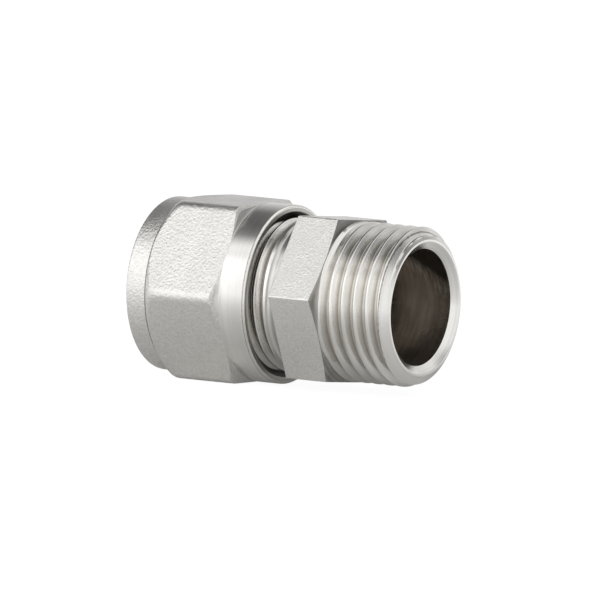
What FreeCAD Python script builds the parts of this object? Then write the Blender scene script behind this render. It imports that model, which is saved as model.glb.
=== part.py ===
"""Compression coupling: a straight fitting with a G1/2 male thread on one side and,
on the other, a grooved stem, a split ring and a nut that grip a 16 mm pipe.

Millimetres. The coupling lies along X with its male thread toward +X and the pipe
side toward -X. Z is up. The origin is under the middle of the whole coupling, on the
surface that the nut's front collar rests on.
"""
import FreeCAD, Part
import math
import os
import re
import Sketcher

doc = FreeCAD.newDocument("CompressionCoupling")

# The driving sizes

SIZES = [
    # the pipe and the two threads that everything else follows
    ("pipe_diameter", 16.0, "outside of the multilayer pipe"),
    ("pipe_wall", 2.0, "its wall"),
    ("neck_thread_diameter", 19.9, "major diameter of the neck's M20 x 1.5 thread"),
    ("male_thread_diameter", 20.75, "major diameter of the G1/2 thread"),
    # nut, measured from its pipe end
    ("nut_length", 18.15, "pipe end to front face"),
    ("nut_flats", 23.0, "across flats"),
    ("nut_edge_round", 1.5, "rounding of the six long edges"),
    ("end_collar_diameter", 22.5, "round collar at the pipe end"),
    ("end_collar_width", 3.2, "its width"),
    ("end_collar_round", 0.4, "rounding of its outer rim"),
    ("end_cone_slope", 0.7, "axial run per radial run where the hexagon's corners are cut back"),
    ("front_collar_diameter", 23.2, "turned collar at the front, the lowest point of the coupling"),
    ("front_collar_width", 3.75, "its width"),
    ("front_cone_slope", 0.47, "axial run per radial run of the turned cone"),
    ("front_lip_chamfer", 0.25, "broken edge of the front collar"),
    ("mouth_width", 0.8, "radial width of the countersink where the nut's thread begins"),
    ("mouth_depth", 0.6, "its depth"),
    ("nut_thread_end", 7.6, "where the thread ends"),
    ("chamber_floor", 4.1, "where the ring's cone begins"),
    ("passage_depth", 2.2, "where the passage meets the cone"),
    ("pipe_mouth_chamfer", 0.5, "broken edge at the pipe's entry"),
    # fitting body, measured from the tip of its stem
    ("stem_wall", 2.0, "wall of the stem"),
    ("stem_lead", 1.0, "length of the stem's tapered tip"),
    ("stem_taper", 0.6, "how much the tip draws in"),
    ("seal_groove_start", 2.0, "first seal groove"),
    ("seal_groove_width", 1.9, "its width"),
    ("seal_groove_depth", 1.2, "its depth"),
    ("seal_pitch", 3.2, "distance between the two seal grooves"),
    ("grip_groove_start", 7.9, "first saw-tooth groove"),
    ("grip_groove_depth", 0.25, "its depth"),
    ("grip_pitch", 0.9, "distance between the saw-tooth grooves"),
    ("neck_length", 10.6, "threaded neck, from its end to the hexagon"),
    ("neck_chamfer", 0.7, "lead of the neck's thread"),
    ("pocket_depth", 3.0, "depth of the pocket in the neck that the pipe's end enters"),
    ("pocket_mouth_chamfer", 0.45, "cone at the pocket's mouth that closes the ring"),
    ("relief_depth", 0.6, "depth of the undercut beside the hexagon"),
    ("relief_width", 1.4, "its width"),
    ("hex_start", 19.6, "rear face of the body's hexagon"),
    ("hex_width", 6.3, "its width"),
    ("hex_flats", 21.0, "across flats"),
    ("hex_edge_round", 0.25, "rounding of its long edges"),
    ("hex_cone_slope", 0.19, "axial run per radial run of its turned front"),
    ("male_length", 10.1, "front of the hexagon to the end face"),
    ("male_end_chamfer_width", 1.525, "radial width of the chamfer at the end of the thread"),
    ("male_end_chamfer_length", 0.83, "its length"),
    ("countersink_width", 1.05, "radial width of the waterway's countersink"),
    ("countersink_depth", 0.78, "its depth"),
    ("male_bore_diameter", 15.0, "waterway in the male end"),
    ("male_bore_depth", 11.8, "its depth"),
    ("bore_cone_length", 2.2, "cone down to the stem's waterway"),
    # small pieces
    ("ring_length", 6.9, "split compression ring"),
    ("ring_wall", 0.95, "its wall"),
    ("ring_tail_depth", 0.65, "how much its cone at the nut's end draws in"),
    ("ring_tail_length", 1.3, "length of that cone"),
    ("ring_nose_depth", 0.5, "how much its cone at the neck's end draws in"),
    ("ring_nose_length", 0.5, "length of that cone"),
    ("ring_slot_width", 1.6, "the split"),
    ("ring_tooth_depth", 0.2, "gripping grooves inside the ring"),
    ("ring_tooth_start", 1.4, "first gripping groove"),
    ("ring_tooth_pitch", 1.5, "distance between them"),
    ("ring_gap", 0.25, "play between the ring's cone and the nut's cone, along the axis"),
    ("seal_section", 1.5, "thickness of each seal ring"),
    ("washer_thickness", 1.0, "its thickness"),
    ("cut_reach", 3.0, "how far a cutting profile reaches beyond the metal"),
    # play between pieces, on the radius
    ("thread_play", 0.05, "between the nut's thread and the neck's"),
    ("passage_play", 0.2, "between the pipe and the nut's passage"),
    ("pocket_play", 0.15, "between the pipe and the pocket in the neck"),
    ("stem_play", 0.1, "between the pipe's bore and the stem"),
    ("ring_play", 0.05, "between the pipe and the split ring"),
    ("chamber_play", 0.3, "between the split ring and the nut's chamber"),
    ("washer_play", 0.075, "between the washer and what it sits in and on"),
    # how the pieces stand to one another
    ("thread_gap", 3.9, "nut's front face to the hexagon, as the coupling is sold"),
    ("body_turn", 4.76, "turn of the body's hexagon against the nut's, in degrees"),
]

# Sizes that follow from those

DERIVED = [
    ("neck_start", "hex_start - neck_length"),
    ("pocket_floor", "neck_start + pocket_depth"),
    ("relief_start", "hex_start - relief_width"),
    ("stem_diameter", "pipe_diameter - 2 * pipe_wall - 2 * stem_play"),
    ("stem_bore_diameter", "stem_diameter - 2 * stem_wall"),
    ("stem_tip_diameter", "stem_diameter - 2 * stem_taper"),
    ("seal_groove_diameter", "stem_diameter - 2 * seal_groove_depth"),
    ("pocket_diameter", "pipe_diameter + 2 * pocket_play"),
    ("pipe_passage_diameter", "pipe_diameter + 2 * passage_play"),
    ("ring_inner_diameter", "pipe_diameter + 2 * ring_play"),
    ("ring_outer_diameter", "ring_inner_diameter + 2 * ring_wall"),
    ("ring_tail_diameter", "ring_outer_diameter - 2 * ring_tail_depth"),
    ("ring_nose_diameter", "ring_outer_diameter - 2 * ring_nose_depth"),
    ("chamber_diameter", "ring_outer_diameter + 2 * chamber_play"),
    ("nut_thread_diameter", "neck_thread_diameter + 2 * thread_play"),
    ("mouth_diameter", "nut_thread_diameter + 2 * mouth_width"),
    ("relief_diameter", "neck_thread_diameter - 2 * relief_depth"),
    ("male_end_diameter", "male_thread_diameter - 2 * male_end_chamfer_width"),
    ("mouth_land_diameter", "male_bore_diameter + 2 * countersink_width"),
    ("body_length", "hex_start + hex_width + male_length"),
    ("washer_inner_diameter", "stem_diameter + 2 * washer_play"),
    ("washer_outer_diameter", "pocket_diameter - 2 * washer_play"),
]

sheet = doc.addObject("Spreadsheet::Sheet", "Sizes")
sheet.Label = "Sizes"
for row, (alias, value, meaning) in enumerate(SIZES, start=1):
    sheet.set("A%d" % row, alias)
    sheet.set("B%d" % row, str(value))
    sheet.setAlias("B%d" % row, alias)
    sheet.set("C%d" % row, meaning)
for row, (alias, formula) in enumerate(DERIVED, start=len(SIZES) + 1):
    sheet.set("A%d" % row, alias)
    sheet.set("B%d" % row, "=" + formula)
    sheet.setAlias("B%d" % row, alias)
doc.recompute()

ALIASES = {entry[0] for entry in SIZES + DERIVED}
TOLERANCE = 0.001


def in_sheet(text):
    """Turn bare size names in an expression into references to the sheet."""
    def refer(match):
        word = match.group(0)
        return "Sizes." + word if word in ALIASES else word
    return re.sub(r"[a-z_]+", refer, text)


# Sketch helpers

def plane_of(body, role):
    """One of the body's own origin planes."""
    for feature in body.Origin.OriginFeatures:
        if feature.Role == role:
            return feature
    raise RuntimeError("no plane " + role)


def new_sketch(body, name, role):
    """An empty sketch on one of the body's origin planes."""
    sketch = body.newObject("Sketcher::SketchObject", name)
    sketch.AttachmentSupport = [(plane_of(body, role), "")]
    sketch.MapMode = "FlatFace"
    return sketch


def pin_point(sketch, geometry, along, across):
    """Fix the start of one line by two expressions; 0 puts it on an axis."""
    for kind, expression, axis in (("DistanceX", along, -2), ("DistanceY", across, -1)):
        if expression == "0":
            sketch.addConstraint(Sketcher.Constraint("PointOnObject", geometry, 1, axis))
        else:
            number = sketch.addConstraint(Sketcher.Constraint(kind, -1, 1, geometry, 1, 1.0))
            sketch.setExpression("Constraints[%d]" % number, in_sheet(expression))


def closed_profile(sketch, corners):
    """Draw a closed outline through the corners, each given as two expressions."""
    count = len(corners)
    for index in range(count):
        start = FreeCAD.Vector(math.cos(index), math.sin(index), 0) * (index + 1)
        turn = (index + 1) % count
        end = FreeCAD.Vector(math.cos(turn), math.sin(turn), 0) * (turn + 1)
        sketch.addGeometry(Part.LineSegment(start, end), False)
    for index in range(count):
        following = (index + 1) % count
        sketch.addConstraint(Sketcher.Constraint("Coincident", index, 2, following, 1))
    for index, (along, across) in enumerate(corners):
        pin_point(sketch, index, along, across)


def turned(body, kind, name, corners):
    """Add or cut a turned form, its half section drawn as (along, radius) corners."""
    sketch = new_sketch(body, name + "Section", "XY_Plane")
    closed_profile(sketch, corners)
    doc.recompute()
    feature = body.newObject("PartDesign::" + kind, name)
    feature.Profile = sketch
    feature.ReferenceAxis = (sketch, ["H_Axis"])
    feature.Angle = 360
    doc.recompute()
    return feature


def hexagon(body, name, flats, start, width):
    """Pad a hexagon along the axis, one edge toward the viewer and flats up and down."""
    sketch = new_sketch(body, name + "Outline", "YZ_Plane")
    sketch.setExpression("AttachmentOffset.Base.z", in_sheet(start))
    sketch.recompute()
    half = flats + " / 2"
    side = flats + " / 2 * tan(30 deg)"
    corner = flats + " / 2 / cos(30 deg)"
    closed_profile(sketch, [
        (corner, "0"),
        (side, half),
        ("-" + side, half),
        ("-" + corner, "0"),
        ("-" + side, "-" + half),
        (side, "-" + half),
    ])
    doc.recompute()
    pad = body.newObject("PartDesign::Pad", name)
    pad.Profile = sketch
    pad.setExpression("Length", in_sheet(width))
    doc.recompute()
    return pad


def edges_along_axis(shape, width, reach):
    """Names of the long corner edges of a hexagon that is width long."""
    names = []
    for number, edge in enumerate(shape.Edges, start=1):
        if len(edge.Vertexes) != 2:
            continue
        span = edge.Vertexes[1].Point - edge.Vertexes[0].Point
        radius = math.hypot(edge.Vertexes[0].Point.y, edge.Vertexes[0].Point.z)
        straight = math.hypot(span.y, span.z) < TOLERANCE
        if straight and abs(abs(span.x) - width) < 0.01 and radius > reach:
            names.append("Edge%d" % number)
    return names


def rim(shape, radius, along):
    """Names of the round edges of one radius at one station."""
    names = []
    for number, edge in enumerate(shape.Edges, start=1):
        curve = edge.Curve
        if curve.TypeId != "Part::GeomCircle":
            continue
        if abs(curve.Radius - radius) < 0.01 and abs(curve.Center.x - along) < 0.01:
            names.append("Edge%d" % number)
    return names


def rounded(body, name, base, edges, size):
    """Round the named edges of a feature."""
    if not edges:
        raise RuntimeError("no edges for " + name)
    fillet = body.newObject("PartDesign::Fillet", name)
    fillet.Base = (base, edges)
    fillet.setExpression("Radius", in_sheet(size))
    doc.recompute()
    return fillet


def repeated(body, name, original, pitch, count):
    """Repeat a turned groove along the axis."""
    pattern = body.newObject("PartDesign::LinearPattern", name)
    pattern.Originals = [original]
    pattern.Direction = (original.Profile[0], ["H_Axis"])
    pattern.setExpression("Length", in_sheet("%s * %d" % (pitch, count - 1)))
    pattern.Occurrences = count
    body.Tip = pattern
    doc.recompute()
    return pattern


def new_body(label):
    """A body whose label names its file."""
    body = doc.addObject("PartDesign::Body", label)
    body.Label = label
    return body


def place(piece, along, turn="0"):
    """Set a piece on the common axis; its own zero goes to the given station."""
    piece.setExpression("Placement.Base.x", in_sheet(along))
    piece.setExpression("Placement.Base.z", in_sheet("front_collar_diameter / 2"))
    piece.setExpression("Placement.Rotation.Axis.x", "1")
    piece.setExpression("Placement.Rotation.Axis.y", "0")
    piece.setExpression("Placement.Rotation.Axis.z", "0")
    piece.setExpression("Placement.Rotation.Angle", in_sheet(turn))


# Stations of the pieces along the common axis

WHOLE = "(nut_length + thread_gap + hex_width + male_length)"
NUT_AT = "-" + WHOLE + " / 2"
BODY_AT = NUT_AT + " + nut_length + thread_gap - hex_start"

# Nut

nut = new_body("compression_nut")
NUT_HEX = "nut_length - front_collar_width - end_collar_width"
nut_hexagon = hexagon(nut, "NutHexagon", "nut_flats", "end_collar_width", NUT_HEX)
nut_hex_width = sheet.nut_length - sheet.front_collar_width - sheet.end_collar_width
nut_edges = edges_along_axis(nut_hexagon.Shape, nut_hex_width, sheet.nut_flats / 2)
rounded(nut, "NutEdges", nut_hexagon, nut_edges, "nut_edge_round")
nut_collars = turned(nut, "Revolution", "Collars", [
    ("0", "0"),
    ("nut_length", "0"),
    ("nut_length", "front_collar_diameter / 2 - front_lip_chamfer"),
    ("nut_length - front_lip_chamfer", "front_collar_diameter / 2"),
    ("nut_length - front_collar_width", "front_collar_diameter / 2"),
    ("nut_length - front_collar_width", "end_collar_diameter / 2"),
    ("0", "end_collar_diameter / 2"),
])
end_rim = rim(nut_collars.Shape, sheet.end_collar_diameter / 2, 0)
rounded(nut, "EndRim", nut_collars, end_rim, "end_collar_round")
turned(nut, "Groove", "EndCone", [
    ("end_collar_width", "nut_flats / 2"),
    ("end_collar_width + cut_reach * end_cone_slope", "nut_flats / 2 + cut_reach"),
    ("end_collar_width", "nut_flats / 2 + cut_reach"),
])
turned(nut, "Groove", "FrontCone", [
    ("nut_length - front_collar_width", "front_collar_diameter / 2"),
    ("nut_length - front_collar_width", "front_collar_diameter / 2 + cut_reach"),
    (
        "nut_length - front_collar_width - cut_reach * front_cone_slope",
        "front_collar_diameter / 2 + cut_reach",
    ),
])
turned(nut, "Groove", "Inside", [
    ("0", "0"),
    ("0", "pipe_passage_diameter / 2 + pipe_mouth_chamfer"),
    ("pipe_mouth_chamfer", "pipe_passage_diameter / 2"),
    ("passage_depth", "pipe_passage_diameter / 2"),
    ("chamber_floor", "chamber_diameter / 2"),
    ("nut_thread_end", "chamber_diameter / 2"),
    ("nut_thread_end + (nut_thread_diameter - chamber_diameter) / 2", "nut_thread_diameter / 2"),
    ("nut_length - mouth_depth", "nut_thread_diameter / 2"),
    ("nut_length", "mouth_diameter / 2"),
    ("nut_length", "0"),
])
place(nut, NUT_AT)

# Fitting body

body = new_body("fitting_body")
turned(body, "Revolution", "Barrel", [
    ("0", "0"),
    ("0", "stem_tip_diameter / 2"),
    ("stem_lead", "stem_diameter / 2"),
    ("neck_start", "stem_diameter / 2"),
    ("neck_start", "neck_thread_diameter / 2 - neck_chamfer"),
    ("neck_start + neck_chamfer", "neck_thread_diameter / 2"),
    ("relief_start", "neck_thread_diameter / 2"),
    ("relief_start + relief_depth / 2", "relief_diameter / 2"),
    ("hex_start", "relief_diameter / 2"),
    ("hex_start + hex_width / 2", "relief_diameter / 2"),
    ("hex_start + hex_width / 2", "male_thread_diameter / 2"),
    ("body_length - male_end_chamfer_length", "male_thread_diameter / 2"),
    ("body_length", "male_end_diameter / 2"),
    ("body_length", "0"),
])
body_hexagon = hexagon(body, "BodyHexagon", "hex_flats", "hex_start", "hex_width")
body_edges = edges_along_axis(body_hexagon.Shape, sheet.hex_width, sheet.hex_flats / 2)
rounded(body, "BodyEdges", body_hexagon, body_edges, "hex_edge_round")
turned(body, "Groove", "BodyCone", [
    ("hex_start + hex_width", "hex_flats / 2"),
    ("hex_start + hex_width", "hex_flats / 2 + cut_reach"),
    ("hex_start + hex_width - cut_reach * hex_cone_slope", "hex_flats / 2 + cut_reach"),
])
turned(body, "Groove", "PipePocket", [
    ("neck_start", "stem_diameter / 2"),
    ("neck_start", "pocket_diameter / 2 + pocket_mouth_chamfer"),
    ("neck_start + pocket_mouth_chamfer", "pocket_diameter / 2"),
    ("pocket_floor", "pocket_diameter / 2"),
    ("pocket_floor", "stem_diameter / 2"),
])
seal_groove = turned(body, "Groove", "SealGroove", [
    ("seal_groove_start", "seal_groove_diameter / 2"),
    ("seal_groove_start + seal_groove_width", "seal_groove_diameter / 2"),
    ("seal_groove_start + seal_groove_width", "stem_diameter / 2 + 1"),
    ("seal_groove_start", "stem_diameter / 2 + 1"),
])
repeated(body, "SealGrooves", seal_groove, "seal_pitch", 2)
grip_groove = turned(body, "Groove", "GripGroove", [
    ("grip_groove_start", "stem_diameter / 2"),
    ("grip_groove_start", "stem_diameter / 2 - grip_groove_depth"),
    ("grip_groove_start + grip_pitch * 0.8", "stem_diameter / 2"),
])
repeated(body, "GripGrooves", grip_groove, "grip_pitch", 3)
turned(body, "Groove", "Waterway", [
    ("0", "0"),
    ("0", "stem_bore_diameter / 2"),
    ("body_length - male_bore_depth - bore_cone_length", "stem_bore_diameter / 2"),
    ("body_length - male_bore_depth", "male_bore_diameter / 2"),
    ("body_length - countersink_depth", "male_bore_diameter / 2"),
    ("body_length", "mouth_land_diameter / 2"),
    ("body_length", "0"),
])
place(body, BODY_AT, "-body_turn")

# Split compression ring, held by the nut's inner cone

ring = new_body("compression_ring")
ring_blank = turned(ring, "Revolution", "RingBlank", [
    ("0", "ring_inner_diameter / 2"),
    ("0", "ring_tail_diameter / 2"),
    ("ring_tail_length", "ring_outer_diameter / 2"),
    ("ring_length - ring_nose_length", "ring_outer_diameter / 2"),
    ("ring_length", "ring_nose_diameter / 2"),
    ("ring_length", "ring_inner_diameter / 2"),
])
tooth = turned(ring, "Groove", "Tooth", [
    ("ring_tooth_start", "ring_inner_diameter / 2 - 0.5"),
    ("ring_tooth_start", "ring_inner_diameter / 2 + ring_tooth_depth"),
    ("ring_tooth_start + ring_tooth_pitch * 0.6", "ring_inner_diameter / 2"),
    ("ring_tooth_start + ring_tooth_pitch * 0.6", "ring_inner_diameter / 2 - 0.5"),
])
teeth = repeated(ring, "Teeth", tooth, "ring_tooth_pitch", 4)
slot_sketch = new_sketch(ring, "SlotOutline", "XY_Plane")
closed_profile(slot_sketch, [
    ("-1", "-ring_slot_width / 2"),
    ("ring_length + 1", "-ring_slot_width / 2"),
    ("ring_length + 1", "ring_slot_width / 2"),
    ("-1", "ring_slot_width / 2"),
])
doc.recompute()
slot = ring.newObject("PartDesign::Pocket", "Slot")
slot.Profile = slot_sketch
slot.setExpression("Length", in_sheet("ring_outer_diameter"))
slot.Reversed = True
doc.recompute()
if slot.Shape.Volume > teeth.Shape.Volume - 1:
    raise RuntimeError("the ring's slot cuts nothing")
RING_AT = NUT_AT + " + passage_depth + ring_gap + (ring_tail_diameter - pipe_passage_diameter)" \
    " * (chamber_floor - passage_depth) / (chamber_diameter - pipe_passage_diameter)"
place(ring, RING_AT)

# Seal rings in the stem's grooves

for label, step in (("outer_seal_ring", 0), ("inner_seal_ring", 1)):
    seal = doc.addObject("Part::Torus", label)
    seal.Label = label
    seal.setExpression("Radius1", in_sheet("(seal_groove_diameter + seal_section) / 2"))
    seal.setExpression("Radius2", in_sheet("seal_section / 2"))
    station = BODY_AT + " + seal_groove_start + seal_groove_width / 2 + seal_pitch * %d" % step
    seal.setExpression("Placement.Base.x", in_sheet(station))
    seal.setExpression("Placement.Base.z", in_sheet("front_collar_diameter / 2"))
    seal.setExpression("Placement.Rotation.Axis.x", "0")
    seal.setExpression("Placement.Rotation.Axis.y", "1")
    seal.setExpression("Placement.Rotation.Axis.z", "0")
    seal.setExpression("Placement.Rotation.Angle", "90")

# Insulating washer on the floor of the pipe pocket

washer = new_body("insulating_washer")
turned(washer, "Revolution", "WasherRing", [
    ("0", "washer_inner_diameter / 2"),
    ("0", "washer_outer_diameter / 2"),
    ("washer_thickness", "washer_outer_diameter / 2"),
    ("washer_thickness", "washer_inner_diameter / 2"),
])
place(washer, BODY_AT + " + pocket_floor - washer_thickness")

doc.recompute()

# Test every object, then write one file per piece

for thing in doc.Objects:
    if "Invalid" in thing.State or "Error" in thing.State:
        raise RuntimeError("%s is %s" % (thing.Name, thing.State))

PIECES = [
    "compression_nut",
    "fitting_body",
    "compression_ring",
    "outer_seal_ring",
    "inner_seal_ring",
    "insulating_washer",
]
os.makedirs("parts", exist_ok=True)
for label in PIECES:
    piece = doc.getObjectsByLabel(label)[0]
    shape = piece.Shape
    if shape.isNull() or not shape.isValid() or len(shape.Solids) != 1:
        raise RuntimeError(label + " is not one valid solid")
    shape.exportStep("parts/%s.step" % label)
    box = shape.BoundBox
    print("%-20s %9.1f mm3  x %.2f %.2f  y %.2f %.2f  z %.2f %.2f" % (
        label, shape.Volume, box.XMin, box.XMax, box.YMin, box.YMax, box.ZMin, box.ZMax))
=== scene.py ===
import math

import bmesh
import bpy
import numpy as np
from mathutils import Matrix, Vector


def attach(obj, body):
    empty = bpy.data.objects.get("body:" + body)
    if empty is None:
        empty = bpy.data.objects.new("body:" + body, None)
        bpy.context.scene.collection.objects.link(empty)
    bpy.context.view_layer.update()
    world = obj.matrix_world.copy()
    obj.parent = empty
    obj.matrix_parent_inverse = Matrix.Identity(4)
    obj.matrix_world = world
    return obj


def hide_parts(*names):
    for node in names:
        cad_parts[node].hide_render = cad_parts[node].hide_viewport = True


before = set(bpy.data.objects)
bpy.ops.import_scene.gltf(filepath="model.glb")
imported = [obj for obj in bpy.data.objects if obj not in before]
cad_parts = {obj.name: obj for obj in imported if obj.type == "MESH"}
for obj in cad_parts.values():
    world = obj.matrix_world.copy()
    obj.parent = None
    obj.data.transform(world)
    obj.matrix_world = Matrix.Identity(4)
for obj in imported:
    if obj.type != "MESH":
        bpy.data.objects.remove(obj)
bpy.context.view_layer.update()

# A millimetre in the frame's metres, and the height of the common axis in millimetres

MM = 0.001
AXIS_HEIGHT = 11.6
FULL_TURN = 2 * math.pi
SIXTH = FULL_TURN / 6

# Where each piece starts along the axis, how far the body is turned, and the direction to the front

NUT_AT = -19.225
BODY_AT = -16.775
RING_AT = -16.516
BODY_TURN = math.radians(-4.76)
FRONT = math.radians(180) + BODY_TURN

# Nut: stations count from its pipe end

NUT_FLATS = 23.0
NUT_EDGE_ROUND = 1.5
NUT_LENGTH = 18.15
END_COLLAR = 3.2
END_COLLAR_RADIUS = 11.25
END_COLLAR_ROUND = 0.4
SEAM = 0.28
NUT_STEP_RADIUS = NUT_FLATS / 2 - 0.03
NUT_STEP_HEIGHT = 0.05
NUT_END_SLOPE = 0.7
NUT_FRONT_SLOPE = 0.47
BLASTED_CONE = 0.4
RIM_EDGE = 0.12
HEX_END = 14.4
FRONT_COLLAR_RADIUS = 11.6
LIP = 0.25
MOUTH_RADIUS = 10.8
MOUTH_CHAMFER = 0.1
MOUTH_DEPTH = 0.6
NUT_BORE_RADIUS = 10.0
NUT_THREAD_FRONT = 16.6
NUT_THREAD_END = 8.3
CHAMBER_RADIUS = 9.3
CHAMBER_FLOOR = 4.1
PASSAGE_DEPTH = 2.2
PASSAGE_RADIUS = 8.2
PIPE_MOUTH_CHAMFER = 0.5

# Fitting body: stations count from the stem's tip

HEX_FLATS = 21.0
HEX_EDGE_ROUND = 0.25
BODY_LENGTH = 36.0
STEM_RADIUS = 5.9
STEM_TIP_RADIUS = 5.3
STEM_LEAD = 1.0
STEM_BORE_RADIUS = 3.9
SEAL_GROOVES = (2.0, 5.2)
SEAL_GROOVE_WIDTH = 1.9
SEAL_GROOVE_RADIUS = 4.7
GRIP_START = 7.9
GRIP_PITCH = 0.9
GRIP_LENGTH = GRIP_PITCH * 0.8
GRIP_DEPTH = 0.25
NECK_START = 9.0
NECK_RADIUS = 9.95
NECK_CHAMFER = 0.7
POCKET_FLOOR = 12.0
POCKET_RADIUS = 8.15
POCKET_CHAMFER = 0.45
NECK_FADE = 17.0
RELIEF_START = 17.95
RELIEF_RADIUS = 9.65
RELIEF_RAMP = 0.3
ROOT_BAND = 0.4
HEX_START = 19.6
HEX_ROOT_RADIUS = HEX_FLATS / 2 - 0.1
HEX_FACE_RADIUS = HEX_FLATS / 2 - 0.05
HEX_FRONT = 25.9
HEX_CONE_SLOPE = 0.19
MALE_RADIUS = 10.375
MALE_THREAD_END = BODY_LENGTH - 0.06
MALE_CHAMFER_START = 35.17
MALE_END_RADIUS = 8.85
MOUTH_LAND_RADIUS = 8.55
COUNTERSINK_START = 35.22
BORE_MOUTH = COUNTERSINK_START - 0.2
BORE_RADIUS = 7.56
BORE_FLOOR = 24.2
BORE_CONE_START = 22.0

# Ring, seals and washer

RING_LENGTH = 6.896
RING_INNER = 8.05
RING_OUTER = 9.0
RING_TAIL_RADIUS = 8.35
RING_TAIL = 1.3
RING_NOSE = 0.5
RING_NOSE_RADIUS = 8.5
RING_SLOT = 1.6
RING_TEETH = (1.4, 2.9, 4.4, 5.9)
TOOTH_LENGTH = 0.9
TOOTH_DEPTH = 0.2
SEAL_STATIONS = (("outer_seal_ring", -13.825), ("inner_seal_ring", -10.625))
SEAL_RADIUS = 5.45
SEAL_SECTION = 0.75
WASHER_AT = -5.775
WASHER_THICKNESS = 1.0
WASHER_INNER = 5.975
WASHER_OUTER = 8.075
WASHER_MIDDLE = (WASHER_INNER + WASHER_OUTER) / 2

# Threads: each crest crosses CREST_ANGLE, near the front, at the station in the frame given here

MALE_PITCH = 1.814
MALE_ROOT_RADIUS = 9.3155
MALE_CREST_AT = 11.07
MALE_FADE = (HEX_FRONT + 1.2, HEX_FRONT + 0.1)
NECK_PITCH = 1.5
NECK_ROOT_RADIUS = 9.03
NECK_CREST_AT = -0.63
NUT_THREAD_TIP_RADIUS = 9.2
CREST_ANGLE = FRONT - math.radians(3)
CONE_BLEND = 0.05

# How finely the shapes are divided, and the angle from which an edge stays sharp

CORNER_COLUMNS = 7
FLAT_COLUMNS = 38
ROUND_STEPS = 4
THREAD_STEPS = 3
RING_COLUMNS = 181
CIRCLE_COLUMNS = 145
SECTION_ROWS = 25
SHARP_ANGLE = math.radians(32)


# Shapes round the axis: a row holds one station and one radius for every angle

def hexagon_reach(flats, rounding):
    """Distance to the middle of a rounded corner's arc, and half the angle that the arc takes up."""
    middle = (flats / 2 - rounding) / math.cos(SIXTH / 2)
    half_angle = math.atan2(rounding / 2, middle + rounding * math.cos(SIXTH / 2))
    return middle, half_angle


def hexagon_angles(flats, rounding):
    """Angles once round, close together over each rounded corner."""
    half_angle = hexagon_reach(flats, rounding)[1]
    arc = np.linspace(-half_angle, half_angle, CORNER_COLUMNS)
    flat = np.linspace(half_angle, SIXTH - half_angle, FLAT_COLUMNS)[1:-1]
    sector = np.concatenate([arc, flat])
    turns = np.concatenate([sector + SIXTH * count for count in range(6)])
    return np.append(turns, turns[0] + FULL_TURN)


def hexagon_radius(angle, flats, rounding):
    """Distance from the axis to the rounded hexagon, whose corners lie at sixths of a turn from zero."""
    middle, half_angle = hexagon_reach(flats, rounding)
    away = np.abs((angle + SIXTH / 2) % SIXTH - SIXTH / 2)
    flat = flats / 2 / np.cos(SIXTH / 2 - away)
    across = np.sqrt(np.maximum(rounding ** 2 - (middle * np.sin(away)) ** 2, 0))
    return np.where(away < half_angle, middle * np.cos(away) + across, flat)


def softened(corners, count=1, steps=ROUND_STEPS):
    """Rows of a line whose corners, (station, radius, rounding), become short arcs.

    An arc takes up no more than 0.7 of the stretch before its corner and 0.45 of the one after.
    """
    points = [
        np.stack([np.broadcast_to(station, count), np.broadcast_to(radius, count)], axis=1).astype(float)
        for station, radius, rounding in corners
    ]
    rows = []
    for place, (station, radius, rounding) in enumerate(corners):
        corner = points[place]
        if rounding == 0 or place in (0, len(corners) - 1):
            rows.append(corner)
            continue
        before = points[place - 1] - corner
        after = points[place + 1] - corner
        before_length = np.maximum(np.linalg.norm(before, axis=1, keepdims=True), 1e-9)
        after_length = np.maximum(np.linalg.norm(after, axis=1, keepdims=True), 1e-9)
        before = before / before_length
        after = after / after_length
        opening = np.arccos(np.clip(np.sum(before * after, axis=1, keepdims=True), -1, 1))
        bend = math.pi - opening
        room = np.minimum(0.7 * before_length, 0.45 * after_length)
        trim = np.minimum(rounding * np.tan(bend / 2), room)
        begin = corner + before * trim
        finish = corner + after * trim
        weight = np.cos(bend / 2)
        for part in np.linspace(0, 1, steps + 1):
            first = (1 - part) ** 2
            second = 2 * part * (1 - part) * weight
            third = part ** 2
            rows.append((first * begin + second * corner + third * finish) / (first + second + third))
    return np.array(rows)


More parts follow.
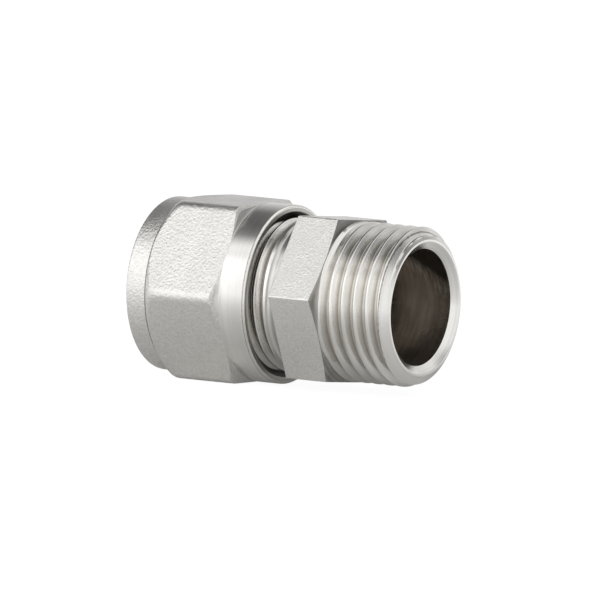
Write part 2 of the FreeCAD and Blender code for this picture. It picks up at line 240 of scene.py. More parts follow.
class Thread:
    """A right-hand thread, whose crest crosses CREST_ANGLE at a station and moves on by the pitch in a turn.

    cone is a line that cuts the crests at the thread's end, and fade the span in which it gets shallow.
    """

    def __init__(self, pitch, crest, root, crest_width, root_width, station, crest_round, root_round,
                 cone=None, fade=None):
        self.pitch = pitch
        self.cone = cone
        self.fade = fade
        self.start = station - pitch * CREST_ANGLE / FULL_TURN
        run = pitch / 2
        form = softened([
            (-run, root, 0),
            (-run + root_width / 2, root, root_round),
            (-crest_width / 2, crest, crest_round),
            (crest_width / 2, crest, crest_round),
            (run - root_width / 2, root, root_round),
            (run, root, 0),
        ], steps=THREAD_STEPS)[:, 0, :]
        self.offsets = form[:, 0]
        self.radii = form[:, 1]
        self.crest = crest

    def radius(self, station, angle):
        """Radius of the thread's surface at a station and an angle."""
        along = station - self.start - self.pitch * angle / FULL_TURN
        along = (along + self.pitch / 2) % self.pitch - self.pitch / 2
        radius = np.interp(along, self.offsets, self.radii)
        if self.fade:
            share = np.clip((self.fade[1] - station) / (self.fade[1] - self.fade[0]), 0, 1)
            radius = self.crest + (radius - self.crest) * share * share * (3 - 2 * share)
        if self.cone:
            (first, first_radius), (last, last_radius) = self.cone
            limit = first_radius + (last_radius - first_radius) * (station - first) / (last - first)
            share = np.clip(0.5 + 0.5 * (limit - radius) / CONE_BLEND, 0, 1)
            radius = limit + (radius - limit) * share - CONE_BLEND * share * (1 - share)
        return radius

    def rows(self, turn, begin, finish):
        """Rows that follow the thread's edges, between a first and a last station for every angle."""
        shift = self.start + self.pitch * turn / FULL_TURN
        first = math.floor((np.min(begin) - np.max(shift)) / self.pitch) - 1
        last = math.ceil((np.max(finish) - np.min(shift)) / self.pitch) + 1
        rows = []
        for count in range(first, last + 1):
            for offset in self.offsets[:-1]:
                station = np.clip(shift + count * self.pitch + offset, begin, finish)
                rows.append(np.stack([station, self.radius(station, turn)], axis=1))
        return np.array(rows)


def joined(name, turn, parts, start, materials):
    """One skin from bands of rows, each with the number of its material, from a start on the axis."""
    points = []
    faces = []
    finishes = []
    columns = len(turn)
    for finish, rows in parts:
        base = len(points) * columns
        for row in rows:
            points.append(np.stack([
                start + row[:, 0],
                row[:, 1] * np.cos(turn),
                AXIS_HEIGHT + row[:, 1] * np.sin(turn),
            ], axis=1))
        for row in range(len(rows) - 1):
            for column in range(columns - 1):
                corner = base + row * columns + column
                faces.append((corner, corner + 1, corner + columns + 1, corner + columns))
                finishes.append(finish)
    mesh = bpy.data.meshes.new(name)
    mesh.from_pydata((np.concatenate(points) * MM).tolist(), [], faces)
    mesh.polygons.foreach_set("material_index", finishes)
    return finished(name, mesh, materials)


def finished(name, mesh, materials):
    """Closes a mesh's seams, smooths it up to its edges and makes it an object."""
    work = bmesh.new()
    work.from_mesh(mesh)
    bmesh.ops.remove_doubles(work, verts=work.verts, dist=1e-7)
    bmesh.ops.recalc_face_normals(work, faces=work.faces)
    work.to_mesh(mesh)
    work.free()
    for material in materials:
        mesh.materials.append(material)
    mesh.shade_smooth()
    mesh.set_sharp_from_angle(angle=SHARP_ANGLE)
    piece = bpy.data.objects.new(name, mesh)
    bpy.context.scene.collection.objects.link(piece)
    weighted = piece.modifiers.new("Even faces", "WEIGHTED_NORMAL")
    weighted.keep_sharp = True
    return piece


# Materials

def new_material(name, colour, metallic, roughness):
    """A material with its main shader, and the tree to build on."""
    material = bpy.data.materials.new(name)
    material.use_nodes = True
    tree = material.node_tree
    shader = tree.nodes["Principled BSDF"]
    shader.inputs["Base Color"].default_value = (*colour, 1)
    shader.inputs["Metallic"].default_value = metallic
    shader.inputs["Roughness"].default_value = roughness
    return material, tree, shader


def math_node(tree, operation, first, second=None, third=None):
    """The result of one step of arithmetic on sockets or numbers."""
    node = tree.nodes.new("ShaderNodeMath")
    node.operation = operation
    for place, value in enumerate((first, second, third)):
        if value is None:
            continue
        if hasattr(value, "links"):
            tree.links.new(value, node.inputs[place])
        else:
            node.inputs[place].default_value = value
    return node.outputs[0]


def noise(tree, vector, scale, detail=2.0, rough=0.5, distortion=0.0):
    """A soft random pattern, about 0.5 on average."""
    node = tree.nodes.new("ShaderNodeTexNoise")
    node.inputs["Scale"].default_value = scale
    node.inputs["Detail"].default_value = detail
    node.inputs["Roughness"].default_value = rough
    node.inputs["Distortion"].default_value = distortion
    tree.links.new(vector, node.inputs["Vector"])
    return node.outputs["Fac"]


def spread(tree, value, from_low, from_high, to_low, to_high):
    """The value, stretched from one range to another and held inside it."""
    node = tree.nodes.new("ShaderNodeMapRange")
    tree.links.new(value, node.inputs["Value"])
    node.inputs["From Min"].default_value = from_low
    node.inputs["From Max"].default_value = from_high
    node.inputs["To Min"].default_value = to_low
    node.inputs["To Max"].default_value = to_high
    return node.outputs["Result"]


def blend_colours(tree, share, first, second):
    """The first colour where the share is 0, and the second where it is 1."""
    node = tree.nodes.new("ShaderNodeMix")
    node.data_type = "RGBA"
    tree.links.new(share, node.inputs["Factor"])
    for place, colour in (("A", first), ("B", second)):
        socket = [s for s in node.inputs if s.name == place and s.type == "RGBA"][0]
        if hasattr(colour, "links"):
            tree.links.new(colour, socket)
        else:
            socket.default_value = (*colour, 1)
    return [s for s in node.outputs if s.type == "RGBA"][0]


def bump(tree, height, distance, below=None):
    """The surface's direction over a relief, on top of another one where below holds it."""
    node = tree.nodes.new("ShaderNodeBump")
    node.inputs["Distance"].default_value = distance
    node.inputs["Strength"].default_value = 1.0
    tree.links.new(height, node.inputs["Height"])
    if below is not None:
        tree.links.new(below, node.inputs["Normal"])
    return node.outputs["Normal"]


def own_place(tree):
    """The point's place on its own piece."""
    return tree.nodes.new("ShaderNodeTexCoord").outputs["Object"]


def axis_place(tree, point):
    """The point's coordinates, and its distance from the common axis."""
    split = tree.nodes.new("ShaderNodeSeparateXYZ")
    tree.links.new(point, split.inputs[0])
    height = math_node(tree, "SUBTRACT", split.outputs["Z"], AXIS_HEIGHT * MM)
    flat = math_node(tree, "MULTIPLY", split.outputs["Y"], split.outputs["Y"])
    tall = math_node(tree, "MULTIPLY_ADD", height, height, flat)
    return split, math_node(tree, "SQRT", tall)


def round_place(tree, point, fine, along=40.0):
    """A place that changes quickly along and away from the axis, and slowly round it."""
    split, away = axis_place(tree, point)
    both = tree.nodes.new("ShaderNodeCombineXYZ")
    tree.links.new(math_node(tree, "MULTIPLY", split.outputs["X"], fine), both.inputs["X"])
    tree.links.new(math_node(tree, "MULTIPLY", away, fine), both.inputs["Y"])
    slow = math_node(tree, "MULTIPLY_ADD", split.outputs["Z"], 1.7, split.outputs["Y"])
    tree.links.new(math_node(tree, "MULTIPLY", slow, along), both.inputs["Z"])
    return both.outputs[0]


# Colours of the metal, of the painted shadow lines, what the painted shadow in the bore leaves of them, the
# tint of the painted shade in thread grooves, and the grain of wear, in waves a metre

NICKEL = (0.76, 0.748, 0.725)
NICKEL_DARK = (0.69, 0.678, 0.655)
BURR_SHADOW = (0.16, 0.15, 0.14)
BURR_SHADOW_WIDTH = 0.06
BURR_SHADOW_END = 0.1
SHADOW_LEVEL = 0.62
GROOVE_SHADE_TINT = (1.0, 0.965, 0.91)
WEAR_GRAIN = 2600.0
WEAR_DEPTH = 0.00001


def blasted_nickel(name, grain, depth, roughness, colour=NICKEL):
    """Nickel over a forged surface that was blasted with shot: soft pebbles and dull pits."""
    material, tree, shader = new_material(name, colour, 1.0, roughness)
    point = own_place(tree)
    coarse = noise(tree, point, 1 / grain, 1.5, 0.45, 0.25)
    fine = noise(tree, point, 2.6 / grain, 2.0, 0.6)
    cloud = noise(tree, point, 1 / (grain * 9), 2.0)
    pits = spread(tree, coarse, 0.36, 0.58, 0.0, 1.0)
    shade = blend_colours(tree, pits, NICKEL_DARK, colour)
    tree.links.new(shade, shader.inputs["Base Color"])
    dull = spread(tree, cloud, 0.3, 0.7, roughness - 0.05, roughness + 0.07)
    tree.links.new(dull, shader.inputs["Roughness"])
    under = bump(tree, fine, depth * 0.35)
    tree.links.new(bump(tree, coarse, depth, below=under), shader.inputs["Normal"])
    return material


def turned_nickel(name, spacing, depth, roughness, colour=NICKEL, dark=NICKEL_DARK, streak=40.0,
                  thread=None, burr_shadow=None, shadow=None):
    """Nickel over a turned surface: fine lines round the axis.

    thread holds the radii of a thread's root and crest, and how bright its root is against the rest: painted
    shade in the grooves.
    burr holds the station of a ragged painted shadow line and how strong it is; past it there is no thread,
    so no painted groove shade.
    shadow holds the height over the axis above which a bore gets a painted shadow at its mouth, with painted
    glints along fine lines just below its edge, the mouth's station, and how much higher it is deeper in.
    """
    material, tree, shader = new_material(name, colour, 1.0, roughness)
    point = own_place(tree)
    lines = noise(tree, round_place(tree, point, 1 / spacing, streak), 1.0, 3.0, 0.65)
    bands = noise(tree, round_place(tree, point, 0.22 / spacing, streak), 1.0, 2.0, 0.5)
    cloud = noise(tree, point, 260.0, 3.0)
    shade = blend_colours(tree, spread(tree, bands, 0.35, 0.6, 0.0, 1.0), dark, colour)
    split, away = axis_place(tree, point)
    worn = noise(tree, round_place(tree, point, WEAR_GRAIN, 1400.0), 1.0, 3.0, 0.6)
    uneven = math_node(tree, "SUBTRACT", worn, 0.5)
    ragged = math_node(tree, "MULTIPLY_ADD", uneven, 0.2 * MM, split.outputs["X"])
    # Painted shade in a thread's grooves: the colour darkens and warms towards the root, made uneven by the
    # wear noise.
    if thread:
        root, crest, level = thread
        clear = spread(tree, away, root * MM, (root + 0.6 * (crest - root)) * MM, 0.0, 1.0)
        clear = math_node(tree, "MULTIPLY_ADD", uneven, 0.5, clear)
        if burr_shadow:
            beyond = spread(tree, ragged, (burr_shadow[0] + BURR_SHADOW_WIDTH) * MM, (burr_shadow[0] + BURR_SHADOW_END) * MM, 0.0, 1.0)
            clear = math_node(tree, "MAXIMUM", clear, beyond)
        groove_shade = tuple(level * part * tint for part, tint in zip(dark, GROOVE_SHADE_TINT))
        shade = blend_colours(tree, spread(tree, clear, 0.0, 1.0, 0.0, 1.0), groove_shade, shade)
    # Painted shadow line: a ragged dark line at the given station.
    if burr_shadow:
        station, strength = burr_shadow
        line = spread(tree, ragged, (station - BURR_SHADOW_WIDTH) * MM, station * MM, 0.0, strength)
        after = spread(tree, ragged, (station + BURR_SHADOW_WIDTH) * MM, (station + BURR_SHADOW_END) * MM, 1.0, 0.0)
        shade = blend_colours(tree, math_node(tree, "MULTIPLY", line, after), shade, BURR_SHADOW)
    # Painted shadow over the bore's top, rising deeper in, and painted glints along fine lines in a band
    # just below its edge.
    if shadow:
        height, mouth, slope = shadow
        over = math_node(tree, "MULTIPLY_ADD", split.outputs["X"], slope, split.outputs["Z"])
        edge = (AXIS_HEIGHT + height + slope * mouth) * MM
        painted_shadow = spread(tree, over, edge - 0.3 * MM, edge + 0.5 * MM, 0.0, 1.0)
        shade = blend_colours(tree, painted_shadow, shade, tuple(SHADOW_LEVEL * part for part in dark))
        glint = spread(tree, over, edge - 2.6 * MM, edge - 1.2 * MM, 0.0, 1.0)
        glint = math_node(tree, "MULTIPLY", glint, math_node(tree, "SUBTRACT", 1.0, painted_shadow))
        glint_scratch = noise(tree, round_place(tree, point, WEAR_GRAIN, 300.0), 1.0, 2.0, 0.6)
        glint_scratch = spread(tree, glint_scratch, 0.45, 0.6, 0.0, 1.0)
        shade = blend_colours(tree, math_node(tree, "MULTIPLY", glint, glint_scratch), shade, NICKEL)
    tree.links.new(shade, shader.inputs["Base Color"])
    dull = spread(tree, cloud, 0.3, 0.7, roughness - 0.04, roughness + 0.06)
    tree.links.new(dull, shader.inputs["Roughness"])
    below = bump(tree, worn, WEAR_DEPTH) if thread else None
    tree.links.new(bump(tree, lines, depth, below=below), shader.inputs["Normal"])
    return material


def rubber(name):
    """Moulded black rubber, with a thin dusty bloom."""
    material, tree, shader = new_material(name, (0.012, 0.012, 0.013), 0.0, 0.5)
    point = own_place(tree)
    bloom = noise(tree, point, 900.0, 3.0)
    dusty = spread(tree, bloom, 0.4, 0.75, 0.0, 1.0)
    shade = blend_colours(tree, dusty, (0.010, 0.010, 0.011), (0.035, 0.034, 0.034))
    tree.links.new(shade, shader.inputs["Base Color"])
    tree.links.new(spread(tree, bloom, 0.3, 0.7, 0.42, 0.6), shader.inputs["Roughness"])
    tree.links.new(bump(tree, noise(tree, point, 9000.0, 2.0), 0.000004), shader.inputs["Normal"])
    return material


def moulded(name):
    """Milky moulded plastic with faint flow marks."""
    material, tree, shader = new_material(name, (0.78, 0.77, 0.73), 0.0, 0.42)
    point = own_place(tree)
    flow = noise(tree, round_place(tree, point, 900.0, 90.0), 1.0, 2.0)
    milky = spread(tree, flow, 0.3, 0.7, 0.0, 1.0)
    shade = blend_colours(tree, milky, (0.70, 0.69, 0.64), (0.82, 0.81, 0.78))
    tree.links.new(shade, shader.inputs["Base Color"])
    tree.links.new(spread(tree, flow, 0.3, 0.7, 0.36, 0.5), shader.inputs["Roughness"])
    tree.links.new(bump(tree, noise(tree, point, 5000.0, 2.0), 0.000003), shader.inputs["Normal"])
    return material


# Stations of the ragged painted shadow lines at the nut's lip and at the male thread's chamfer, and of the
# painted shadow at the bore's top

LIP_LINE_AT = -1.36
CHAMFER_LINE_AT = 18.36
SHADOW_HEIGHT = 2.2
SHADOW_MOUTH = 18.5
SHADOW_SLOPE = 0.75

nut_blasted = blasted_nickel("Nut blasted nickel", 0.00034, 0.000075, 0.35)
body_blasted = blasted_nickel(
    "Body blasted nickel", 0.00022, 0.000045, 0.29,
    colour=(0.775, 0.763, 0.74))
# The front collar gets a painted shadow line just behind the nut's lip.
turned = turned_nickel(
    "Turned nickel", 0.00011, 0.0000012, 0.2,
    burr_shadow=(LIP_LINE_AT, 0.6))
# The hexagon's turned front face and the band at its root: real turned lines, with a darker colour that is
# painted shade.
cut_face_painted_shade = turned_nickel(
    "Cut face painted shade", 0.00016, 0.000005, 0.34,
    colour=(0.55, 0.54, 0.52), dark=(0.33, 0.32, 0.305))
rim_finish = turned_nickel(
    "Rim nickel", 0.0001, 0.000003, 0.3,
    colour=(0.55, 0.535, 0.51), dark=(0.42, 0.41, 0.39))
# The male thread gets painted shade in its grooves and a painted shadow line where its chamfer starts.
male_finish = turned_nickel(
    "Threaded nickel", 0.00009, 0.000003, 0.16,
    thread=(MALE_ROOT_RADIUS, MALE_RADIUS, 0.72), burr_shadow=(CHAMFER_LINE_AT, 0.75))
# The neck thread gets strong painted shade in its grooves.
neck_finish = turned_nickel(
    "Neck nickel", 0.00016, 0.000006, 0.18,
    colour=(0.83, 0.815, 0.79), dark=(0.54, 0.525, 0.495), streak=20.0,
    thread=(NECK_ROOT_RADIUS, NECK_RADIUS, 0.5))
# The plain neck beside the hexagon: real turning lines, with a darker colour that is painted shade next to
# the hexagon.
relief_painted_shade = turned_nickel(
    "Relief nickel painted shade", 0.00016, 0.000006, 0.22,
    colour=(0.70, 0.69, 0.67), dark=(0.4, 0.39, 0.37), streak=20.0)
# Dark colour for the end collar's band beside the hexagon: painted shade where collar and hexagon meet.
seam_painted_shade = turned_nickel(
    "Seam", 0.0001, 0.000003, 0.5,
    colour=(0.30, 0.29, 0.275), dark=(0.2, 0.19, 0.18))
# Near-black colour for the nut's mouth, countersink and inner thread: painted shade inside the nut.
inside_painted_shade = turned_nickel(
    "Nut inside painted shade", 0.0002, 0.000006, 0.4,
    colour=(0.07, 0.065, 0.058), dark=(0.045, 0.04, 0.036))
# The bore gets a painted shadow at its top and painted glints below it.
bore_finish = turned_nickel(
    "Bore", 0.00013, 0.000004, 0.3,
    colour=(0.46, 0.42, 0.375), dark=(0.36, 0.325, 0.29), streak=150.0,
    shadow=(SHADOW_HEIGHT, SHADOW_MOUTH, SHADOW_SLOPE))
brass = turned_nickel(
    "Ring brass", 0.00014, 0.000003, 0.26,
    colour=(0.80, 0.60, 0.30), dark=(0.66, 0.47, 0.22))
black_rubber = rubber("Seal rubber")
white_washer = moulded("Washer plastic")

# Threads: the pipe thread of the male end, and the fine thread between neck and nut

male_thread = Thread(
    pitch=MALE_PITCH, crest=MALE_RADIUS, root=MALE_ROOT_RADIUS, crest_width=0.28, root_width=0.4,
    station=MALE_CREST_AT - BODY_AT, crest_round=0.13, root_round=0.25,
    cone=((MALE_CHAMFER_START, MALE_RADIUS), (BODY_LENGTH, MALE_END_RADIUS)),
    fade=MALE_FADE)
neck_thread = Thread(
    pitch=NECK_PITCH, crest=NECK_RADIUS, root=NECK_ROOT_RADIUS, crest_width=0.218, root_width=0.22,
    station=NECK_CREST_AT - BODY_AT, crest_round=0.05, root_round=0.12,
    cone=((NECK_START, NECK_RADIUS - NECK_CHAMFER), (NECK_START + NECK_CHAMFER, NECK_RADIUS)),
    fade=(NECK_FADE, RELIEF_START))
nut_thread = Thread(
    pitch=NECK_PITCH, crest=NUT_BORE_RADIUS, root=NUT_THREAD_TIP_RADIUS, crest_width=0.22, root_width=0.36,
    station=NECK_CREST_AT - NUT_AT, crest_round=0.08, root_round=0.06)

# Nut: a hexagon between two turned collars, hollow, threaded inside, with a corner at each seam of bands

turn = hexagon_angles(NUT_FLATS, NUT_EDGE_ROUND)
count = len(turn)
side = hexagon_radius(turn, NUT_FLATS, NUT_EDGE_ROUND)
cone_front = HEX_END - NUT_FRONT_SLOPE * np.maximum(side - FRONT_COLLAR_RADIUS, 0)
cone_end = END_COLLAR + NUT_END_SLOPE * (side - NUT_STEP_RADIUS)
pipe_mouth = (PIPE_MOUTH_CHAMFER, PASSAGE_RADIUS, 0)
seam_start = (END_COLLAR - SEAM, END_COLLAR_RADIUS, 0)
seam_end = (END_COLLAR, NUT_STEP_RADIUS - NUT_STEP_HEIGHT, 0)
flat_middle = ((cone_end + cone_front) / 2, side, 0)
cone_middle = (
    cone_front + BLASTED_CONE * (HEX_END - cone_front),
    side + BLASTED_CONE * (FRONT_COLLAR_RADIUS - side),
    0)
rim_start = (NUT_LENGTH, FRONT_COLLAR_RADIUS - LIP - RIM_EDGE, 0)
mouth_edge = (NUT_LENGTH - MOUTH_CHAMFER, MOUTH_RADIUS - MOUTH_CHAMFER, 0)
mouth_floor = (NUT_LENGTH - MOUTH_DEPTH, NUT_BORE_RADIUS, 0)
end_collar = softened([
    pipe_mouth,
    (0, PASSAGE_RADIUS + PIPE_MOUTH_CHAMFER, 0.1),
    (0, END_COLLAR_RADIUS, END_COLLAR_ROUND),
    seam_start,
], count)
# This band of the end collar, beside the hexagon, is darkened with painted shade.
seam = softened([
    seam_start,
    (END_COLLAR, END_COLLAR_RADIUS, 0.08),
    seam_end,
], count)
hexagon_end = softened([
    seam_end,
    (END_COLLAR, NUT_STEP_RADIUS, 0.15),
    (cone_end, side, 3.0),
    flat_middle,
], count)
hexagon_front = softened([
    flat_middle,
    (cone_front, side, 0.12),
    cone_middle,
], count)
front_collar = softened([
    cone_middle,
    (HEX_END, FRONT_COLLAR_RADIUS, 0.1),
    (NUT_LENGTH - LIP, FRONT_COLLAR_RADIUS, 0.06),
    (NUT_LENGTH, FRONT_COLLAR_RADIUS - LIP, 0.06),
    rim_start,
], count)
rim = softened([
    rim_start,
    (NUT_LENGTH, MOUTH_RADIUS, 0.08),
    mouth_edge,
], count)
countersink = softened([mouth_edge, mouth_floor], count)
inner_thread = nut_thread.rows(turn, NUT_THREAD_END, NUT_THREAD_FRONT)[::-1]
inner_mouth = softened([
    mouth_floor,
    (NUT_THREAD_FRONT, NUT_BORE_RADIUS, 0),
    (NUT_THREAD_FRONT, nut_thread.radius(NUT_THREAD_FRONT, turn), 0),
], count)
chamber = softened([
    (NUT_THREAD_END, nut_thread.radius(NUT_THREAD_END, turn), 0),
    (NUT_THREAD_END, CHAMBER_RADIUS, 0),
    (CHAMBER_FLOOR, CHAMBER_RADIUS, 0.2),
    (PASSAGE_DEPTH, PASSAGE_RADIUS, 0.1),
    pipe_mouth,
], count)
nut = joined(
    "compression_nut_dressed", turn,
    [(0, end_collar), (4, seam), (0, hexagon_end), (0, hexagon_front), (1, front_collar), (5, rim),
     (3, countersink), (3, inner_mouth), (3, inner_thread), (2, chamber)],
    NUT_AT, [nut_blasted, turned, bore_finish, inside_painted_shade, seam_painted_shade, rim_finish])
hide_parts("compression_nut")
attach(nut, "nut")

# Fitting body: stem, threaded neck, hexagon and male thread, one turned piece

turn = hexagon_angles(HEX_FLATS, HEX_EDGE_ROUND) + BODY_TURN
count = len(turn)
side = hexagon_radius(turn - BODY_TURN, HEX_FLATS, HEX_EDGE_ROUND)
cone_front = HEX_FRONT - HEX_CONE_SLOPE * (side - HEX_FLATS / 2)
relief_end = (HEX_START - ROOT_BAND, RELIEF_RADIUS, 0)
hexagon_root = (HEX_START, HEX_ROOT_RADIUS, 0)
face_edge = (cone_front + 0.03, side - 0.05, 0)
bore_mouth = (BORE_MOUTH, BORE_RADIUS, 0)
stem_corners = [
    (0, STEM_BORE_RADIUS, 0),
    (0, STEM_TIP_RADIUS, 0.15),
    (STEM_LEAD, STEM_RADIUS, 0.3),
]
for station in SEAL_GROOVES:
    stem_corners += [
        (station, STEM_RADIUS, 0.08),
        (station, SEAL_GROOVE_RADIUS, 0.12),
        (station + SEAL_GROOVE_WIDTH, SEAL_GROOVE_RADIUS, 0.12),
        (station + SEAL_GROOVE_WIDTH, STEM_RADIUS, 0.08),
    ]
for number in range(3):
    station = GRIP_START + GRIP_PITCH * number
    stem_corners += [
        (station, STEM_RADIUS, 0.03),
        (station, STEM_RADIUS - GRIP_DEPTH, 0.03),
        (station + GRIP_LENGTH, STEM_RADIUS, 0.03),
    ]
stem_corners += [
    (POCKET_FLOOR, STEM_RADIUS, 0.1),
    (POCKET_FLOOR, POCKET_RADIUS, 0.1),
    (NECK_START + POCKET_CHAMFER, POCKET_RADIUS, 0.05),
    (NECK_START, POCKET_RADIUS + POCKET_CHAMFER, 0.05),
    (NECK_START, NECK_RADIUS - NECK_CHAMFER, 0),
]
stem = softened(stem_corners, count)
neck_rows = neck_thread.rows(turn, NECK_START, RELIEF_START)
neck_lead = np.array([
    np.stack([np.full(count, NECK_START), np.full(count, NECK_RADIUS - NECK_CHAMFER)], axis=1),
    neck_rows[0],
])
relief = softened([
    (RELIEF_START, neck_thread.radius(RELIEF_START, turn), 0),
    (RELIEF_START + RELIEF_RAMP, RELIEF_RADIUS, 0.5),
    relief_end,
], count)
# The band at the hexagon's root is darkened with painted shade, where the neck meets the hexagon.
root_band = softened([
    relief_end,
    (HEX_START, RELIEF_RADIUS, 0.15),
    hexagon_root,
], count)
hexagon = softened([
    hexagon_root,
    (HEX_START, side, 0.12),
    ((HEX_START + cone_front) / 2, side, 0),
    (cone_front, side, 0.06),
    face_edge,
], count)
hexagon_face = softened([
    face_edge,
    (HEX_FRONT, HEX_FACE_RADIUS, 0),
    (HEX_FRONT, male_thread.radius(HEX_FRONT, turn), 0),
], count)
male_rows = male_thread.rows(turn, HEX_FRONT, MALE_THREAD_END)
male_chamfer = softened([
    (male_rows[-1][:, 0], male_rows[-1][:, 1], 0),
    (BODY_LENGTH, MALE_END_RADIUS, 0.08),
    (BODY_LENGTH, MOUTH_LAND_RADIUS, 0.06),
    (COUNTERSINK_START, BORE_RADIUS, 0.05),
    bore_mouth,
], count)
waterway = softened([
    bore_mouth,
    ((COUNTERSINK_START + BORE_FLOOR) / 2, BORE_RADIUS, 0),
    (BORE_FLOOR, BORE_RADIUS, 0.3),
    (BORE_CONE_START, STEM_BORE_RADIUS, 0.2),
    (BORE_CONE_START / 2, STEM_BORE_RADIUS, 0),
    (0, STEM_BORE_RADIUS, 0),
], count)
body = joined(
    "fitting_body_dressed", turn,
    [(1, stem), (5, neck_lead), (5, neck_rows), (6, relief), (4, root_band), (0, hexagon),
     (4, hexagon_face), (2, male_rows), (1, male_chamfer), (3, waterway)],
    BODY_AT, [body_blasted, turned, male_finish, bore_finish, cut_face_painted_shade, neck_finish, relief_painted_shade])
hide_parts("fitting_body")
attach(body, "fitting")

# Split ring, with its slot on top

ring_corners = [
    (0, RING_INNER, 0),
    (0, RING_TAIL_RADIUS, 0.1),
    (RING_TAIL, RING_OUTER, 0.4),
    (RING_LENGTH - RING_NOSE, RING_OUTER, 0.2),
    (RING_LENGTH, RING_NOSE_RADIUS, 0.08),
    (RING_LENGTH, RING_INNER, 0),
]
for station in reversed(RING_TEETH):
    ring_corners += [
        (min(station + TOOTH_LENGTH, RING_LENGTH), RING_INNER, 0),
        (station, RING_INNER + TOOTH_DEPTH, 0),
        (station, RING_INNER, 0),
    ]
ring_corners.append((0, RING_INNER, 0))
half_slot = RING_SLOT / 2 / RING_OUTER
top = math.radians(90)
ring_turn = np.linspace(top + half_slot, top + FULL_TURN - half_slot, RING_COLUMNS)
ring_rows = softened(ring_corners, len(ring_turn), steps=3)
ring = joined("compression_ring_dressed", ring_turn, [(0, ring_rows)], RING_AT, [brass])
work = bmesh.new()
work.from_mesh(ring.data)
bmesh.ops.holes_fill(work, edges=[e for e in work.edges if e.is_boundary], sides=0)
bmesh.ops.recalc_face_normals(work, faces=work.faces)
work.to_mesh(ring.data)
work.free()
ring.data.set_sharp_from_angle(angle=SHARP_ANGLE)
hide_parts("compression_ring")
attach(ring, "ring")

# Seal rings, round in section, and the washer

circle = np.linspace(0, FULL_TURN, CIRCLE_COLUMNS)
for name, station in SEAL_STATIONS:
    section = np.array([
        np.stack([
            np.full(len(circle), SEAL_SECTION * math.sin(angle)),
            np.full(len(circle), SEAL_RADIUS + SEAL_SECTION * math.cos(angle)),
        ], axis=1)
        for angle in np.linspace(0, FULL_TURN, SECTION_ROWS)
    ])
    seal = joined(name + "_dressed", circle, [(0, section)], station, [black_rubber])
    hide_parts(name)
    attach(seal, "fitting")
washer_rows = softened([
    (0, WASHER_MIDDLE, 0),
    (0, WASHER_OUTER, 0.1),
    (WASHER_THICKNESS, WASHER_OUTER, 0.1),
    (WASHER_THICKNESS, WASHER_INNER, 0.1),
    (0, WASHER_INNER, 0.1),
    (0, WASHER_MIDDLE, 0),
], len(circle))
washer = joined("insulating_washer_dressed", circle, [(0, washer_rows)], WASHER_AT, [white_washer])
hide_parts("insulating_washer")
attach(washer, "fitting")

# Floor: pale, white to the camera, with the object's soft shadow. The metal mirrors it shaded close to
# the object and white far off, with a painted light strip right under it that glows in reflections only. All
# reaches here are in metres.

FLOOR_REACH = 1.5
FLOOR_COLOUR = (0.635, 0.63, 0.618)
FLOOR_WHITE = 1.2
FLOOR_SEEN_WHITE = 0.79
DARK_STRETCH = 0.6
DARK_START = 0.013
DARK_REACH = 0.054
STRIP_START = 0.004
STRIP_END = 0.012
STRIP_WHITE = 0.11
floor_mesh = bpy.data.meshes.new("floor")
floor_mesh.from_pydata(
    [(-FLOOR_REACH, -FLOOR_REACH, 0), (FLOOR_REACH, -FLOOR_REACH, 0),
     (FLOOR_REACH, FLOOR_REACH, 0), (-FLOOR_REACH, FLOOR_REACH, 0)], [], [(0, 1, 2, 3)])
floor = bpy.data.objects.new("floor", floor_mesh)
bpy.context.scene.collection.objects.link(floor)
floor_material = bpy.data.materials.new("Pale floor")
floor_material.use_nodes = True
tree = floor_material.node_tree
tree.nodes.clear()
output = tree.nodes.new("ShaderNodeOutputMaterial")
paint = tree.nodes.new("ShaderNodeBsdfDiffuse")
paint.inputs["Color"].default_value = (*FLOOR_COLOUR, 1)
white = tree.nodes.new("ShaderNodeEmission")
white.inputs["Strength"].default_value = FLOOR_WHITE
rays = tree.nodes.new("ShaderNodeLightPath")
split = tree.nodes.new("ShaderNodeSeparateXYZ")
tree.links.new(own_place(tree), split.inputs[0])
across = math_node(tree, "MULTIPLY", split.outputs["Y"], split.outputs["Y"])
along = math_node(tree, "MULTIPLY", split.outputs["X"], DARK_STRETCH)
distance = math_node(tree, "SQRT", math_node(tree, "MULTIPLY_ADD", along, along, across))
beyond = math_node(tree, "MAXIMUM", math_node(tree, "SUBTRACT", distance, DARK_START), 0.0)
near = math_node(tree, "EXPONENT", math_node(tree, "MULTIPLY", beyond, -1 / DARK_REACH))
# Painted light: a strip under the object that glows in the metal's reflections.
aside = math_node(tree, "ABSOLUTE", split.outputs["Y"])
under = spread(tree, aside, STRIP_START, STRIP_END, STRIP_WHITE, 0.0)
far = math_node(tree, "SUBTRACT", 1.0, near)
seen = math_node(tree, "MULTIPLY", rays.outputs["Is Camera Ray"], FLOOR_SEEN_WHITE)
seen = math_node(tree, "MULTIPLY_ADD", rays.outputs["Is Transmission Ray"], FLOOR_SEEN_WHITE, seen)
mirrored = math_node(tree, "MULTIPLY", rays.outputs["Is Glossy Ray"], math_node(tree, "ADD", far, under))
seen = math_node(tree, "ADD", mirrored, seen)
mixed = tree.nodes.new("ShaderNodeMixShader")
tree.links.new(seen, mixed.inputs["Fac"])
tree.links.new(paint.outputs[0], mixed.inputs[1])
tree.links.new(white.outputs[0], mixed.inputs[2])
tree.links.new(mixed.outputs[0], output.inputs["Surface"])
floor_mesh.materials.append(floor_material)

# World: a wide soft light in front, a dark gap overhead and a light wall behind, all along the axis.
# ROOM holds degrees round the axis, from the front up over the top, and the light's level there.
# FLAGS hold a direction, the cosines at which a dark patch round it begins and is full, and its level.

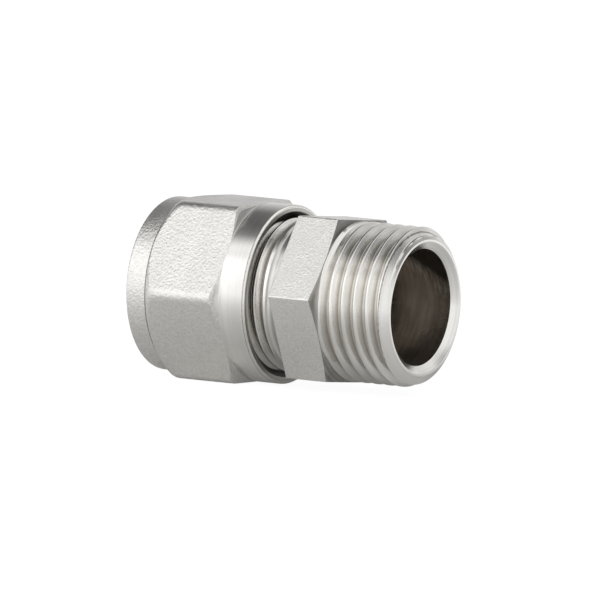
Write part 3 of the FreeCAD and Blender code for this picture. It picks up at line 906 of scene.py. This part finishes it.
ROOM = [
    (-180, 0.80), (-150, 0.80), (-90, 0.60), (-25, 0.95), (-8, 1.28), (0, 1.34), (9, 1.34), (17, 1.42),
    (28, 1.5), (40, 1.66), (54, 1.02), (63, 1.36), (71, 0.88), (81, 0.22), (100, 0.13), (130, 0.17),
    (150, 0.60), (165, 0.80), (180, 0.82),
]
FLAGS = (
    ((0.565, 0.811, 0.154), 0.87, 0.97, 0.42),
    ((0.706, 0.706, -0.05), 0.88, 0.98, 0.28),
    ((0.803, 0.442, 0.40), 0.92, 0.98, 0.3),
)
END_LIGHT = (1.11, 1.11, 1.1)
END_LIGHT_START = -0.15
END_LIGHT_FULL = 0.3
world = bpy.data.worlds.new("Studio")
bpy.context.scene.world = world
world.use_nodes = True
tree = world.node_tree
tree.nodes.clear()
output = tree.nodes.new("ShaderNodeOutputWorld")
direction = tree.nodes.new("ShaderNodeTexCoord").outputs["Generated"]
split = tree.nodes.new("ShaderNodeSeparateXYZ")
tree.links.new(direction, split.inputs[0])
forward = math_node(tree, "MULTIPLY", split.outputs["Y"], -1.0)
round_axis = math_node(tree, "ARCTAN2", split.outputs["Z"], forward)
share = spread(tree, round_axis, -math.pi, math.pi, 0.0, 1.0)
ramp = tree.nodes.new("ShaderNodeValToRGB")
ramp.color_ramp.interpolation = "LINEAR"
stops = ramp.color_ramp.elements
while len(stops) > 1:
    stops.remove(stops[-1])
for number, (angle, level) in enumerate(ROOM):
    place = (angle + 180) / 360
    stop = stops[0] if number == 0 else stops.new(place)
    stop.position = place
    stop.color = (level, level, level, 1)
tree.links.new(share, ramp.inputs["Fac"])
ends = spread(tree, split.outputs["X"], END_LIGHT_START, END_LIGHT_FULL, 0.0, 1.0)
room = blend_colours(tree, ends, ramp.outputs["Color"], END_LIGHT)
for place, begin, finish, level in FLAGS:
    toward = math_node(tree, "MULTIPLY", split.outputs["X"], place[0])
    toward = math_node(tree, "MULTIPLY_ADD", split.outputs["Y"], place[1], toward)
    toward = math_node(tree, "MULTIPLY_ADD", split.outputs["Z"], place[2], toward)
    flag = spread(tree, toward, begin, finish, 0.0, 1.0)
    room = blend_colours(tree, flag, room, (level, level, level))
light = tree.nodes.new("ShaderNodeBackground")
tree.links.new(room, light.inputs["Color"])
backdrop = tree.nodes.new("ShaderNodeBackground")
backdrop.inputs["Color"].default_value = (1, 1, 1, 1)
rays = tree.nodes.new("ShaderNodeLightPath")
mixed = tree.nodes.new("ShaderNodeMixShader")
behind = math_node(tree, "MAXIMUM", rays.outputs["Is Camera Ray"], rays.outputs["Is Transmission Ray"])
tree.links.new(behind, mixed.inputs["Fac"])
tree.links.new(light.outputs[0], mixed.inputs[1])
tree.links.new(backdrop.outputs[0], mixed.inputs[2])
tree.links.new(mixed.outputs[0], output.inputs["Surface"])

# Camera at the photograph's angle, far off, so that lines along the axis hardly converge

CAMERA_AIM = Vector((0.309, 0.108, 10.991)) * MM
CAMERA_FORWARD = Vector((-0.515876, 0.849515, -0.110436))
CAMERA_DISTANCE = 2.8136
CAMERA_ROLL = math.radians(1.857)
CAMERA_SENSOR = 36.0
CAMERA_LENS = 1309.5
level_right = CAMERA_FORWARD.cross(Vector((0, 0, 1))).normalized()
level_up = level_right.cross(CAMERA_FORWARD).normalized()
right = level_right * math.cos(CAMERA_ROLL) + level_up * math.sin(CAMERA_ROLL)
up = level_up * math.cos(CAMERA_ROLL) - level_right * math.sin(CAMERA_ROLL)
camera_data = bpy.data.cameras.new("Camera")
camera_data.sensor_width = CAMERA_SENSOR
camera_data.lens = CAMERA_LENS
camera_data.clip_start = 0.1
camera_data.clip_end = 20.0
camera = bpy.data.objects.new("Camera", camera_data)
bpy.context.scene.collection.objects.link(camera)
place = CAMERA_AIM - CAMERA_FORWARD * CAMERA_DISTANCE
camera.matrix_world = Matrix((
    (right.x, up.x, -CAMERA_FORWARD.x, place.x),
    (right.y, up.y, -CAMERA_FORWARD.y, place.y),
    (right.z, up.z, -CAMERA_FORWARD.z, place.z),
    (0, 0, 0, 1),
))
bpy.context.scene.camera = camera
bpy.context.scene.view_settings.view_transform = "Standard"
